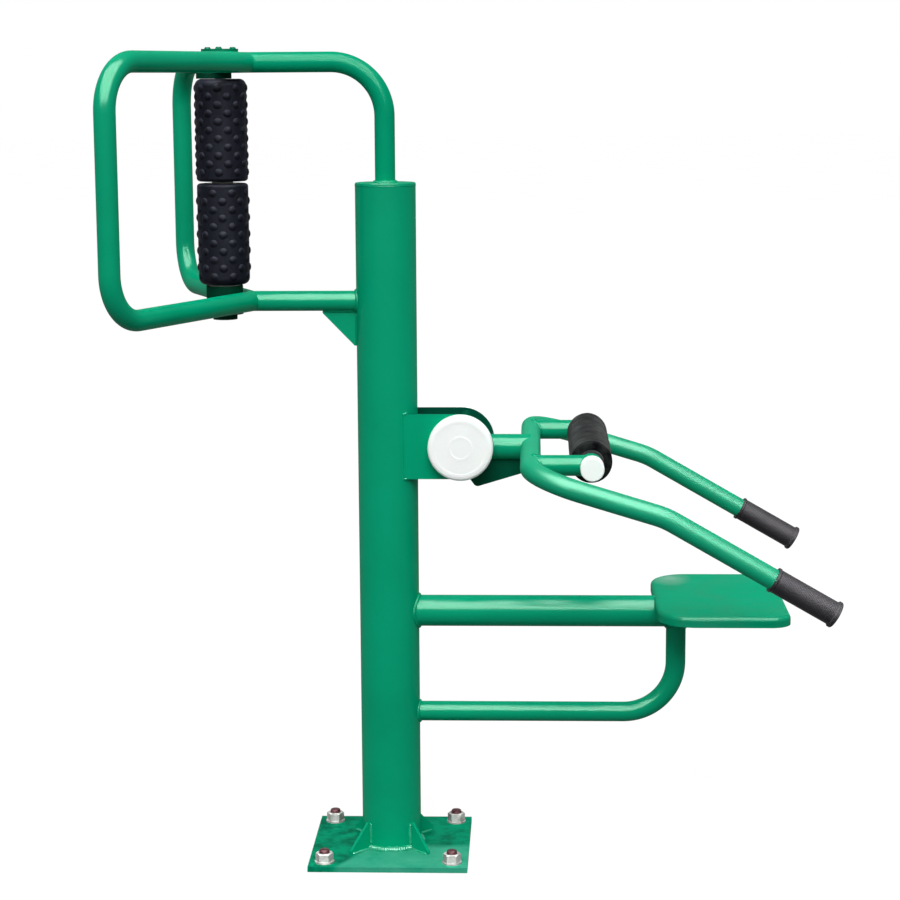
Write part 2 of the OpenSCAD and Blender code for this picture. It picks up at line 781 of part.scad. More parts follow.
module end_cap() {
    start = stub_side + face_gap;
    length = axle_half + end_cap_t + seat_fit - start;
    round_r = 2;
    translate([0, 0, start]) difference() {
        rotate_extrude() {
            square([end_cap_d / 2, length - round_r]);
            square([end_cap_d / 2 - round_r, length]);
            translate([end_cap_d / 2 - round_r, length - round_r]) circle(r = round_r);
        }
        translate([0, 0, -grain]) cylinder(d = tube_d + 2 * seat_fit, h = length - end_cap_t + grain);
    }
}

module axle_end_caps() {
    color(cover_white) {
        at_axle() end_cap();
        mirror([0, 1, 0]) at_axle() end_cap();
    }
}

// A rubber grip from its ring at the origin to its closed, flanged end
module grip() {
    ring_t = 4;
    difference() {
        union() {
            cylinder(d = grip_d, h = grip_len);
            cylinder(d = grip_ring_d, h = ring_t);
            translate([0, 0, ring_t]) cylinder(d1 = grip_ring_d, d2 = grip_d, h = 2);
            translate([0, 0, grip_len - grip_flange_t - 3]) cylinder(d1 = grip_d, d2 = grip_flange_d, h = 3);
            translate([0, 0, grip_len - grip_flange_t]) cylinder(d = grip_flange_d, h = grip_flange_t - 1.5);
            translate([0, 0, grip_len - 1.5]) cylinder(d1 = grip_flange_d, d2 = grip_flange_d - 3, h = 1.5);
        }
        translate([0, 0, -grain]) cylinder(d = tube_d + 2 * seat_fit, h = grip_len - grip_floor + grain);
    }
}

module at_grip() {
    bend = [arm_bend_x, -fork_half_w, fork_z - arm_1 * sin(droop_1)];
    translate(bend) rotate([0, 90 + droop_2, 0]) translate([0, 0, arm_2 - grip_len]) children();
}

module near_grip() {
    color(rubber_black) at_grip() grip();
}

module far_grip() {
    color(rubber_black) mirror([0, 1, 0]) at_grip() grip();
}

module foam_roller() {
    round_r = 5;
    wall = (foam_d - liner_d) / 2 - seat_fit;
    color(rubber_black) at_axle() translate([0, 0, -foam_len / 2]) rotate_extrude()
        translate([liner_d / 2 + seat_fit, 0]) {
            square([wall - round_r, foam_len]);
            translate([0, round_r]) square([wall, foam_len - 2 * round_r]);
            for (z = [round_r, foam_len - round_r]) translate([wall - round_r, z]) circle(r = round_r);
        }
}

module foam_liner() {
    color(rubber_black) at_axle() translate([0, 0, -liner_half])
        ring(liner_d, tube_d + 2 * run_fit, 2 * liner_half);
}

module seat_beam() {
    color(paint_green) difference() {
        translate([0, 0, beam_z]) rotate([0, 90, 0]) tube_run(beam_d, beam_wall, beam_end_x);
        translate([0, 0, beam_z - beam_d]) cope(post_d, 2 * beam_d);
    }
}

module beam_end_plate() {
    color(paint_green) translate([beam_end_x, 0, beam_z]) rotate([0, 90, 0]) cylinder(d = beam_d, h = beam_wall);
}

module seat_support_tube() {
    color(paint_green) difference() {
        translate([0, 0, support_z]) rotate([0, 90, 0]) rotate([0, 0, 180])
            tube_run(tube_d, tube_wall, support_x - support_bend_r)
                tube_bend(tube_d, tube_wall, support_bend_r, 90)
                    tube_run(tube_d, tube_wall, beam_z - support_z - support_bend_r);
        translate([0, 0, support_z - tube_d]) cope(post_d, 2 * tube_d);
        translate([0, 0, beam_z]) rotate([0, 90, 0]) cope(beam_d, beam_end_x);
    }
}

// Section of the seat sheet from a corner's centre outwards, with its fold and its rim
module seat_section(reach) {
    fold_x = reach - seat_fold_r;
    fold_y = seat_top - seat_fold_r;
    translate([0, seat_under]) square([fold_x, seat_t]);
    translate([reach - seat_t, seat_top - seat_rim]) square([seat_t, seat_rim - seat_fold_r]);
    intersection() {
        difference() {
            translate([fold_x, fold_y]) circle(r = seat_fold_r);
            translate([fold_x, fold_y]) circle(r = seat_fold_r - seat_t);
        }
        translate([fold_x, fold_y]) square([seat_fold_r, seat_fold_r]);
    }
}

// The seat's corners and its long edge on the far side, drawn round the middle of the seat
module seat_side() {
    start_x = seat_corner_r - seat_len / 2;
    translate([seat_len / 2 - seat_outer_r, seat_w / 2 - seat_outer_r, 0])
        rotate_extrude(angle = 90) seat_section(seat_outer_r);
    translate([start_x, seat_w / 2 - seat_corner_r, 0]) {
        rotate([0, 0, 90]) rotate_extrude(angle = 90) seat_section(seat_corner_r);
        rotate([90, 0, 90]) linear_extrude(seat_len / 2 - seat_outer_r - start_x) seat_section(seat_corner_r);
    }
}

module seat_pan() {
    start_x = seat_corner_r - seat_len / 2;
    end_x = seat_len / 2 - seat_outer_r;
    inner_y = seat_w / 2 - seat_corner_r;
    outer_y = seat_w / 2 - seat_outer_r;
    color(paint_green) difference() {
        translate([seat_mid_x, 0, 0]) union() {
            seat_side();
            mirror([0, 1, 0]) seat_side();
            translate([start_x, -inner_y, 0]) rotate([90, 0, 180]) linear_extrude(2 * inner_y)
                seat_section(seat_corner_r);
            translate([end_x, outer_y, 0]) rotate([90, 0, 0]) linear_extrude(2 * outer_y) seat_section(seat_outer_r);
            translate([start_x, -inner_y, seat_under]) cube([end_x - start_x, 2 * inner_y, seat_t]);
        }
        translate([seat_start_x - grain, 0, beam_z]) rotate([0, 90, 0])
            cope(beam_d, grain + seat_fold_r + seat_t);
    }
}

module seat_ribs() {
    rib_len = seat_w - 2 * (seat_t + seat_rib_end);
    color(paint_green) difference() {
        for (x = [-seat_rib_x, seat_rib_x])
            translate([seat_mid_x + x - rib_t / 2, -rib_len / 2, seat_under - weld_gap - rib_h])
                cube([rib_t, rib_len, rib_h]);
        translate([0, 0, beam_z]) rotate([0, 90, 0]) cope(beam_d, beam_end_x + beam_d);
    }
}

base_plate();
foot_gussets();
anchor_washers();
anchor_nuts();
post_tube();
post_cap();
upper_frame_tube();
lower_frame_tube();
frame_gusset();
near_handle_loop();
far_handle_loop();
upper_hub();
lower_hub();
hub_cover();
cover_screws();
neck_ring();
roller_shaft();
middle_collar();
thrust_washer();
upper_roller_rubber();
upper_roller_core();
upper_roller_bushes();
lower_roller_rubber();
lower_roller_core();
lower_roller_bushes();
near_bracket_plate();
far_bracket_plate();
stop_pins();
pivot_shaft();
pivot_spacers();
pivot_washers();
pivot_nuts();
near_pivot_cover();
far_pivot_cover();
lever_hub();
pivot_bearings();
lever_tube();
lever_web();
lever_fork();
fork_stubs();
foam_axle();
axle_end_caps();
near_grip();
far_grip();
foam_roller();
foam_liner();
seat_beam();
beam_end_plate();
seat_support_tube();
seat_pan();
seat_ribs();
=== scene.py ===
import json
import math

import bmesh
import bpy
from mathutils import Matrix, Vector
from mathutils import noise as perlin


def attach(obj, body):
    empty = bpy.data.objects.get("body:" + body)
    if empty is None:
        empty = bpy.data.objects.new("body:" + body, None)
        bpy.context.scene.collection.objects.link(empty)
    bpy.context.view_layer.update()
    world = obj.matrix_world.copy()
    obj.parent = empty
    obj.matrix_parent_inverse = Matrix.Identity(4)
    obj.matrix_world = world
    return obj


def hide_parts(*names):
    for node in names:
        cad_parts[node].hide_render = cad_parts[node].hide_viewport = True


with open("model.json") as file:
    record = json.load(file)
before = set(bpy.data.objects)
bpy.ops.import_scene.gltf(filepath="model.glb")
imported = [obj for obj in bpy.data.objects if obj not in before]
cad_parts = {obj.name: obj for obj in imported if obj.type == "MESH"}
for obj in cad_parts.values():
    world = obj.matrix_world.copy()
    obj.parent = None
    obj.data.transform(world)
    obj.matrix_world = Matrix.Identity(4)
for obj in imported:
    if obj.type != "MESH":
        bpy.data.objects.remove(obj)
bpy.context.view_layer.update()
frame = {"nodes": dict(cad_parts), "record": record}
nodes = frame["nodes"]
bpy.context.scene.view_settings.view_transform = "Standard"

# Places and sizes, repeated from the part's source in metres

POST_R = 0.057
TUBE_R = 0.019
BEAM_R = 0.030
PLATE_TOP = 0.010
POST_TOP = 1.296
POST_CAP_T = 0.005
LOWER_Z = 1.074
PIVOT_X = 0.140
PIVOT_Z = 0.802
FORK_X = 0.272
FORK_Z = 0.795
AXLE_X = 0.383
BEAM_Z = 0.475
SUPPORT_Z = 0.275
SUPPORT_X = 0.551
GRIP_SLOPE = math.radians(30.0)
ANCHOR_AT = 0.122
BEAM_END_X = 0.700
GUSSET_T = 0.006
FOOT_GUSSET_LEG = 0.050
FOOT_GUSSET_H = 0.052
FRAME_GUSSET_W = 0.064
FRAME_GUSSET_H = 0.066
BRACKET_Y = 0.047
BRACKET_R = 0.062
LEVER_HUB_R = 0.030
LEVER_TUBE_R = 0.024
STUB_Y = 0.214
UP = Vector((0, 0, 1))


# Camera, matched to the photograph

CAMERA_AT = Vector((0.2810, -4.2540, 1.4854))
CAMERA_YAW = math.radians(2.19)
CAMERA_PITCH = math.radians(9.30)
CAMERA_ROLL = math.radians(0.35)
FOCAL_MM = 90.51


def make_camera():
    yaw, pitch, roll = CAMERA_YAW, CAMERA_PITCH, CAMERA_ROLL
    flat = math.cos(pitch)
    forward = Vector((-math.sin(yaw) * flat, math.cos(yaw) * flat, -math.sin(pitch)))
    level = Vector((math.cos(yaw), math.sin(yaw), 0))
    down = forward.cross(level)
    right = level * math.cos(roll) + down * math.sin(roll)
    below = down * math.cos(roll) - level * math.sin(roll)
    data = bpy.data.cameras.new("camera")
    data.sensor_width = 36.0
    data.lens = FOCAL_MM
    data.clip_end = 60.0
    cam = bpy.data.objects.new("camera", data)
    turn = Matrix((right, -below, -forward)).transposed().to_4x4()
    cam.matrix_world = Matrix.Translation(CAMERA_AT) @ turn
    bpy.context.scene.collection.objects.link(cam)
    bpy.context.scene.camera = cam


make_camera()


# Material helpers


def new_material(name):
    mat = bpy.data.materials.new(name)
    mat.use_nodes = True
    tree = mat.node_tree
    shader = tree.nodes["Principled BSDF"]
    return mat, tree, shader


def set_inputs(made, **values):
    for key, value in values.items():
        made.inputs[key.replace("_", " ")].default_value = value


def link(tree, source, target):
    tree.links.new(source, target)


def noise(tree, coord, scale, detail=3.0, rough=0.5):
    made = tree.nodes.new("ShaderNodeTexNoise")
    made.inputs["Scale"].default_value = scale
    made.inputs["Detail"].default_value = detail
    made.inputs["Roughness"].default_value = rough
    link(tree, coord, made.inputs["Vector"])
    return made.outputs["Fac"]


def ramp(tree, value, stops):
    made = tree.nodes.new("ShaderNodeValToRGB")
    bar = made.color_ramp
    while len(bar.elements) < len(stops):
        bar.elements.new(0.5)
    for element, (place, colour) in zip(bar.elements, stops):
        element.position = place
        element.color = (*colour, 1.0)
    link(tree, value, made.inputs["Fac"])
    return made.outputs["Color"]


def spread(tree, value, low, high, start=0.0, end=1.0):
    made = tree.nodes.new("ShaderNodeMapRange")
    made.inputs["From Min"].default_value = start
    made.inputs["From Max"].default_value = end
    made.inputs["To Min"].default_value = low
    made.inputs["To Max"].default_value = high
    link(tree, value, made.inputs["Value"])
    return made.outputs["Result"]


def bump(tree, shader, height, distance, strength=1.0, below=None):
    made = tree.nodes.new("ShaderNodeBump")
    made.inputs["Strength"].default_value = strength
    made.inputs["Distance"].default_value = distance
    link(tree, height, made.inputs["Height"])
    if below is not None:
        link(tree, below, made.inputs["Normal"])
    link(tree, made.outputs["Normal"], shader.inputs["Normal"])
    return made.outputs["Normal"]


def here(tree):
    return tree.nodes.new("ShaderNodeTexCoord").outputs["Object"]


def axis_of(tree, coord, axis):
    parts = tree.nodes.new("ShaderNodeSeparateXYZ")
    link(tree, coord, parts.inputs[0])
    return parts.outputs[axis]


def maths(tree, operation, one, two=0.0):
    made = tree.nodes.new("ShaderNodeMath")
    made.operation = operation
    for socket, value in zip(made.inputs, (one, two)):
        if isinstance(value, float):
            socket.default_value = value
        else:
            link(tree, value, socket)
    return made.outputs[0]


def mix_colour(tree, factor, low, high):
    made = tree.nodes.new("ShaderNodeMix")
    made.data_type = "RGBA"
    link(tree, factor, made.inputs["Factor"])
    for socket, value in ((made.inputs["A"], low), (made.inputs["B"], high)):
        if isinstance(value, tuple):
            socket.default_value = (*value, 1.0)
        else:
            link(tree, value, socket)
    return made.outputs["Result"]


# Materials

GREEN = (0.0003, 0.292, 0.148)
GREEN_DEEP = (0.0002, 0.258, 0.127)
GREEN_PALE = (0.0006, 0.318, 0.166)
# Painted light: the next two pale greens are a painted reflection on the base plate and a painted
# highlight on the foot weld. The two dark greens after them are painted shade, between the bracket
# plates and on the base plate.
REFLECTED_GREEN = (0.020, 0.300, 0.180)
PALER_REFLECTED_GREEN = (0.050, 0.350, 0.225)
SHADED_GREEN = (0.0003, 0.060, 0.034)
PLATE_SHADE_GREEN = (0.0006, 0.105, 0.055)
SEAT_CLOUD = (0.020, 0.250, 0.135)
# A painted reflection, pale, on the seat near its far corner.
SEAT_REFLECTION_PALE = (0.260, 0.440, 0.360)


def paint_tone(tree, at, shade):
    """Powder coat with faint clouds and a little grime in its grain."""
    deep, plain, pale = (tuple(c * shade for c in tone) for tone in (GREEN_DEEP, GREEN, GREEN_PALE))
    tone = ramp(tree, noise(tree, at, 5.0, 4.0, 0.55), [(0.25, deep), (0.5, plain), (0.78, pale)])
    speck = noise(tree, at, 160.0, 2.0, 0.5)
    grime = ramp(tree, speck, [(0.30, tuple(0.72 * c for c in plain)), (0.42, plain)])
    worn = spread(tree, noise(tree, at, 14.0, 5.0, 0.6), 0.0, 0.4, 0.50, 0.75)
    return mix_colour(tree, worn, tone, grime)


def green_paint(name, coat, coat_rough, shade=1.0, wear_and_painted_light=None):
    """The clear coat carries the shine. A shade below one darkens the whole tone. A wear function
    turns the tone to another one in places: mottling, painted reflections and painted shade.
    """
    mat, tree, shader = new_material(name)
    at = here(tree)
    tone = paint_tone(tree, at, shade)
    if wear_and_painted_light is not None:
        tone = wear_and_painted_light(tree, at, tone)
    link(tree, tone, shader.inputs["Base Color"])
    link(tree, spread(tree, noise(tree, at, 22.0, 4.0), 0.55, 0.75), shader.inputs["Roughness"])
    set_inputs(shader, IOR=1.5, Specular_IOR_Level=0.0)
    set_inputs(shader, Coat_Weight=coat, Coat_IOR=1.5, Coat_Roughness=coat_rough)
    dents = bump(tree, shader, noise(tree, at, 26.0, 2.0, 0.4), 0.0010, 0.14)
    peel = bump(tree, shader, noise(tree, at, 420.0, 2.0, 0.4), 0.0001, 0.07, dents)
    link(tree, peel, shader.inputs["Coat Normal"])
    return mat


def plate_reflection_and_shade(tree, at, tone):
    """A painted reflection, pale, on the front of the base plate, and painted shade, dark and
    mottled, behind it and on its left.
    """
    shaded_from, lean, ragged = -0.034, 2.0, 0.030
    across = axis_of(tree, at, "X")
    left = maths(tree, "MAXIMUM", maths(tree, "SUBTRACT", shaded_from, across), 0.0)
    edge = maths(tree, "MULTIPLY", noise(tree, at, 13.0, 4.0, 0.6), ragged)
    depth = maths(tree, "ADD", axis_of(tree, at, "Y"), maths(tree, "MULTIPLY", left, lean))
    # dust is the mask of the pale painted reflection, full on the front of the plate.
    dust = spread(tree, maths(tree, "ADD", depth, edge), 1.0, 0.0, -0.022, 0.004)
    blotch = spread(tree, noise(tree, at, 30.0, 5.0, 0.65), 0.25, 1.0, 0.40, 0.66)
    # dark is the plate's tone turned to painted shade in blotches.
    dark = mix_colour(tree, blotch, tone, PLATE_SHADE_GREEN)
    # pale is the tone of the painted reflection.
    pale = ramp(tree, noise(tree, at, 24.0, 4.0, 0.6), [(0.3, REFLECTED_GREEN), (0.7, PALER_REFLECTED_GREEN)])
    return mix_colour(tree, dust, dark, pale)


def seat_mottle_and_reflection(tree, at, tone):
    """Soft mottling, and a pale painted reflection near the far corner on the post's side."""
    squeeze, reflection_x, reflection_y = 1.7, 0.546, 0.145
    flat = tree.nodes.new("ShaderNodeVectorMath")
    flat.operation = "MULTIPLY"
    flat.inputs[1].default_value = (squeeze, 1.0, 0.0)
    link(tree, at, flat.inputs[0])
    away = tree.nodes.new("ShaderNodeVectorMath")
    away.operation = "DISTANCE"
    away.inputs[1].default_value = (squeeze * reflection_x, reflection_y, 0.0)
    link(tree, flat.outputs["Vector"], away.inputs[0])
    near = spread(tree, away.outputs["Value"], 0.55, 0.0, 0.010, 0.075)
    uneven = spread(tree, noise(tree, at, 26.0, 4.0, 0.6), 0.4, 1.0, 0.30, 0.60)
    reflection_patch = maths(tree, "MULTIPLY", near, uneven)
    cloud = spread(tree, noise(tree, at, 12.0, 4.0, 0.6), 0.0, 0.6, 0.42, 0.70)
    return mix_colour(tree, reflection_patch, mix_colour(tree, cloud, tone, SEAT_CLOUD), SEAT_REFLECTION_PALE)


def bracket_painted_shade(tree, at, tone):
    """Painted shade: dark green faces between the two bracket plates."""
    depth = maths(tree, "ABSOLUTE", axis_of(tree, at, "Y"))
    inside = spread(tree, depth, 1.0, 0.0, BRACKET_Y - 0.0006, BRACKET_Y - 0.0002)
    return mix_colour(tree, inside, tone, SHADED_GREEN)


def weld_paint(name, coat, low, high):
    mat, tree, shader = new_material(name)
    at = here(tree)
    tone = ramp(tree, noise(tree, at, 60.0, 3.0), [(0.3, low), (0.7, high)])
    link(tree, tone, shader.inputs["Base Color"])
    set_inputs(shader, Roughness=0.6, IOR=1.5, Specular_IOR_Level=0.0)
    set_inputs(shader, Coat_Weight=coat, Coat_IOR=1.5, Coat_Roughness=0.22)
    grain = bump(tree, shader, noise(tree, at, 300.0, 4.0), 0.0006, 0.3)
    link(tree, grain, shader.inputs["Coat Normal"])
    return mat


def zinc_steel():
    mat, tree, shader = new_material("zinc_plated_steel")
    at = here(tree)
    stain = noise(tree, at, 60.0, 4.0, 0.6)
    dull, plain, bright = (0.13, 0.125, 0.115), (0.25, 0.26, 0.25), (0.34, 0.335, 0.31)
    tone = ramp(tree, stain, [(0.25, dull), (0.6, plain), (0.85, bright)])
    link(tree, tone, shader.inputs["Base Color"])
    link(tree, spread(tree, noise(tree, at, 130.0, 4.0), 0.42, 0.60), shader.inputs["Roughness"])
    set_inputs(shader, Metallic=0.40, Specular_IOR_Level=0.02)
    bump(tree, shader, noise(tree, at, 700.0, 3.0), 0.0002, 0.35)
    return mat


def dark_steel():
    mat, tree, shader = new_material("weathered_stud_steel")
    at = here(tree)
    rust = noise(tree, at, 110.0, 5.0, 0.65)
    dark, brown, pale = (0.020, 0.007, 0.009), (0.055, 0.024, 0.026), (0.11, 0.065, 0.055)
    tone = ramp(tree, rust, [(0.35, dark), (0.6, brown), (0.8, pale)])
    link(tree, tone, shader.inputs["Base Color"])
    link(tree, spread(tree, rust, 0.40, 0.62), shader.inputs["Roughness"])
    set_inputs(shader, Metallic=0.30, Specular_IOR_Level=0.02)
    bump(tree, shader, rust, 0.0004, 0.4)
    return mat


def ground_steel():
    mat, tree, shader = new_material("ground_shaft_steel")
    at = here(tree)
    stretched = tree.nodes.new("ShaderNodeMapping")
    stretched.inputs["Scale"].default_value = (1.0, 1.0, 14.0)
    link(tree, at, stretched.inputs["Vector"])
    lines = noise(tree, stretched.outputs["Vector"], 180.0, 3.0)
    dull, bright = (0.46, 0.46, 0.47), (0.62, 0.62, 0.63)
    tone = ramp(tree, lines, [(0.3, dull), (0.7, bright)])
    link(tree, tone, shader.inputs["Base Color"])
    link(tree, spread(tree, lines, 0.22, 0.36), shader.inputs["Roughness"])
    set_inputs(shader, Metallic=1.0)
    bump(tree, shader, lines, 0.0001, 0.2)
    return mat


def ribs(tree, at):
    """Fine rings round a grip, whose axis slopes down by GRIP_SLOPE."""
    lined = tree.nodes.new("ShaderNodeMapping")
    lined.inputs["Rotation"].default_value = (0.0, -GRIP_SLOPE, 0.0)
    link(tree, at, lined.inputs["Vector"])
    bands = tree.nodes.new("ShaderNodeTexWave")
    bands.inputs["Scale"].default_value = 110.0
    bands.inputs["Distortion"].default_value = 0.6
    link(tree, lined.outputs["Vector"], bands.inputs["Vector"])
    return bands.outputs["Fac"]


def rubber(name, tones, roughs, grain, grain_depth, shine, ribbed=False):
    """Tones and roughs are pairs, each from its low to its high value."""
    mat, tree, shader = new_material(name)
    at = here(tree)
    dust = noise(tree, at, 18.0, 5.0, 0.6)
    tone = ramp(tree, dust, [(0.32, tones[0]), (0.72, tones[1])])
    link(tree, tone, shader.inputs["Base Color"])
    link(tree, spread(tree, noise(tree, at, 45.0, 4.0), *roughs), shader.inputs["Roughness"])
    set_inputs(shader, IOR=1.5, Specular_IOR_Level=shine)
    coarse = bump(tree, shader, noise(tree, at, grain / 5.0, 3.0), grain_depth * 2.0, 0.25)
    if ribbed:
        coarse = bump(tree, shader, ribs(tree, at), 0.0004, 0.4, coarse)
    bump(tree, shader, noise(tree, at, grain, 4.0, 0.55), grain_depth, 0.5, coarse)
    return mat


def foam_skin():
    mat, tree, shader = new_material("closed_cell_foam")
    at = here(tree)
    cells = tree.nodes.new("ShaderNodeTexVoronoi")
    cells.inputs["Scale"].default_value = 480.0
    link(tree, at, cells.inputs["Vector"])
    blotch = noise(tree, at, 34.0, 6.0, 0.70)
    black, dusty = (0.0010, 0.0013, 0.002), (0.022, 0.025, 0.024)
    tone = ramp(tree, blotch, [(0.40, black), (0.62, dusty)])
    link(tree, tone, shader.inputs["Base Color"])
    link(tree, spread(tree, blotch, 0.46, 0.66), shader.inputs["Roughness"])
    set_inputs(shader, IOR=1.45, Specular_IOR_Level=0.003, Sheen_Weight=0.02, Sheen_Roughness=0.5)
    creases = bump(tree, shader, noise(tree, at, 120.0, 4.0, 0.6), 0.0012, 0.35)
    bump(tree, shader, cells.outputs["Distance"], 0.0005, 0.5, creases)
    return mat


def white_plastic():
    mat, tree, shader = new_material("white_moulded_plastic")
    at = here(tree)
    haze = noise(tree, at, 9.0, 4.0, 0.6)
    hazy, clean = (0.88, 0.91, 0.90), (0.92, 0.94, 0.93)
    tone = ramp(tree, haze, [(0.3, hazy), (0.7, clean)])
    link(tree, tone, shader.inputs["Base Color"])
    link(tree, spread(tree, noise(tree, at, 30.0, 4.0), 0.38, 0.50), shader.inputs["Roughness"])
    set_inputs(shader, IOR=1.49, Specular_IOR_Level=0.018)
    set_inputs(shader, Subsurface_Weight=0.04, Subsurface_Scale=0.004)
    bump(tree, shader, noise(tree, at, 650.0, 2.0), 0.0001, 0.25)
    return mat


def plain_plastic(name, low, high, rough):
    mat, tree, shader = new_material(name)
    at = here(tree)
    tone = ramp(tree, noise(tree, at, 25.0, 4.0), [(0.3, low), (0.7, high)])
    link(tree, tone, shader.inputs["Base Color"])
    uneven = spread(tree, noise(tree, at, 60.0, 3.0), rough - 0.06, rough + 0.06)
    link(tree, uneven, shader.inputs["Roughness"])
    set_inputs(shader, IOR=1.5, Specular_IOR_Level=0.06)
    bump(tree, shader, noise(tree, at, 500.0, 3.0), 0.00015, 0.3)
    return mat


PAINT = green_paint("green_powder_coat", coat=0.085, coat_rough=0.20)
FORK_PAINT = green_paint("green_powder_coat_on_fork", coat=0.135, coat_rough=0.40)
# The upper tube's tone is a little darker, as painted shade on the top of the frame.
TOP_PAINT = green_paint("green_powder_coat_on_upper_tube", coat=0.03, coat_rough=0.20, shade=0.95)
SEAT_PAINT = green_paint("green_powder_coat_on_seat", coat=0.055, coat_rough=0.27, wear_and_painted_light=seat_mottle_and_reflection)
PLATE_PAINT = green_paint("green_powder_coat_on_base", coat=0.03, coat_rough=0.30, wear_and_painted_light=plate_reflection_and_shade)
BRACKET_PAINT = green_paint(
    "green_powder_coat_on_bracket", coat=0.04, coat_rough=0.24, wear_and_painted_light=bracket_painted_shade
)
# The lever web, the hubs with the neck ring, and the hub cover with its screws take darker copies of
# the paint as painted shade.
WEB_PAINT = green_paint("green_powder_coat_on_lever_web", coat=0.025, coat_rough=0.30, shade=0.24)
HUB_PAINT = green_paint("green_powder_coat_on_hubs", coat=0.02, coat_rough=0.35, shade=0.12)
COVER_PAINT = green_paint("green_powder_coat_on_hub_cover", coat=0.02, coat_rough=0.30, shade=0.50)
PIN_PAINT = green_paint("green_powder_coat_on_stop_pins", coat=0.02, coat_rough=0.35, shade=0.22)
WELD = weld_paint("painted_weld", coat=0.07, low=GREEN_DEEP, high=GREEN)
# The foot weld's paler tones are a painted highlight along the bead.
FOOT_WELD = weld_paint("painted_foot_weld", coat=0.16, low=GREEN, high=PALER_REFLECTED_GREEN)
ZINC = zinc_steel()
STUD = dark_steel()
GROUND = ground_steel()
RUBBER = rubber(
    "moulded_black_rubber",
    tones=((0.0025, 0.003, 0.006), (0.007, 0.008, 0.013)),
    roughs=(0.42, 0.58),
    grain=620.0,
    grain_depth=0.0003,
    shine=0.013,
)
GRIP = rubber(
    "grip_rubber",
    tones=((0.006, 0.0055, 0.007), (0.017, 0.0155, 0.018)),
    roughs=(0.50, 0.66),
    grain=900.0,
    grain_depth=0.0004,
    shine=0.055,
    ribbed=True,
)
FOAM = foam_skin()
WHITE = white_plastic()
LINER = plain_plastic(
    "black_liner_plastic", low=(0.012, 0.012, 0.013), high=(0.026, 0.026, 0.028), rough=0.45
)
NYLON = plain_plastic("nylon", low=(0.66, 0.65, 0.58), high=(0.76, 0.75, 0.69), rough=0.42)

BY_SLOT = {
    "green_paint": PAINT,
    "zinc_steel": ZINC,
    "bearing_steel": GROUND,
    "black_rubber": RUBBER,
    "grip_rubber": GRIP,
    "foam": FOAM,
    "black_plastic": LINER,
    "white_plastic": WHITE,
    "nylon": NYLON,
}


def dress(obj, mat):
    obj.data.materials.clear()
    obj.data.materials.append(mat)


for entry in frame["record"]["subparts"]:
    dress(nodes[entry["node"]], BY_SLOT[entry["material_slot"]])
for mat, names in (
    (GROUND, ("roller_shaft", "pivot_shaft")),
    (BRACKET_PAINT, ("near_bracket_plate", "far_bracket_plate")),
    (SEAT_PAINT, ("seat_pan",)),
    (PLATE_PAINT, ("base_plate",)),
    (WEB_PAINT, ("lever_web",)),
    (HUB_PAINT, ("lower_hub", "neck_ring")),
    (COVER_PAINT, ("hub_cover", "cover_screws")),
    (FORK_PAINT, ("lever_fork",)),
    (TOP_PAINT, ("upper_frame_tube",)),
    (PIN_PAINT, ("stop_pins",)),
):
    for name in names:
        dress(nodes[name], mat)


# Mesh helpers


def mesh_object(name, bm, mat, body):
    bmesh.ops.recalc_face_normals(bm, faces=bm.faces)
    data = bpy.data.meshes.new(name)
    bm.to_mesh(data)
    bm.free()
    for face in data.polygons:
        face.use_smooth = True
    obj = bpy.data.objects.new(name, data)
    bpy.context.scene.collection.objects.link(obj)
    data.materials.append(mat)
    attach(obj, body)
    return obj


def bridge(bm, one, two, shift=0):
    """Faces between two rings of corners, with the second ring turned by shift places."""
    sides = len(one)
    for k in range(sides):
        far, near = (k + 1 + shift) % sides, (k + shift) % sides
        bm.faces.new((one[k], one[(k + 1) % sides], two[far], two[near]))


def add_tube_mesh(bm, points, radius_at, closed):
    """A swept tube through the points, with its own radius at each of them."""
    sides = 8
    count = len(points)
    rings = []
    normal = None
    for i, at in enumerate(points):
        before = points[i - 1] if (closed or i > 0) else points[i]
        after = points[(i + 1) % count] if (closed or i < count - 1) else points[i]
        tangent = (after - before).normalized()
        if normal is None:
            guess = UP if abs(tangent.z) < 0.9 else Vector((1, 0, 0))
            normal = guess.cross(tangent).normalized()
        normal = (normal - tangent * normal.dot(tangent)).normalized()
        side = tangent.cross(normal)
        r = radius_at(i / count)
        ring = []
        for k in range(sides):
            a = 2 * math.pi * k / sides
            ring.append(bm.verts.new(at + (normal * math.cos(a) + side * math.sin(a)) * r))
        rings.append(ring)
    pairs = count if closed else count - 1
    for i in range(pairs):
        one, two = rings[i], rings[(i + 1) % count]
        shift = 0
        if closed and i == count - 1:
            shift = min(range(sides), key=lambda s: (one[0].co - two[s].co).length)
        bridge(bm, one, two, shift)
    if not closed:
        bm.faces.new(rings[0][::-1])
        bm.faces.new(rings[-1])


def ripple(radius, length, closed):
    """A weld bead's radius: small even ripples, tapered at the ends of an open bead."""
    ripple_step = 0.0045
    waves = max(6, round(length / ripple_step))

    def at(f):
        small = 0.09 * math.cos(2 * math.pi * waves * f)
        r = radius * (1 + small + 0.05 * math.sin(9.7 * f + 3.0))
        if not closed:
            edge = min(f, 1 - f) * length
            r *= 0.45 + 0.55 * min(1.0, edge / (1.4 * radius))
        return r

    return at


def path_length(points, closed):
    total = sum((b - a).length for a, b in zip(points, points[1:]))
    return total + ((points[0] - points[-1]).length if closed else 0.0)


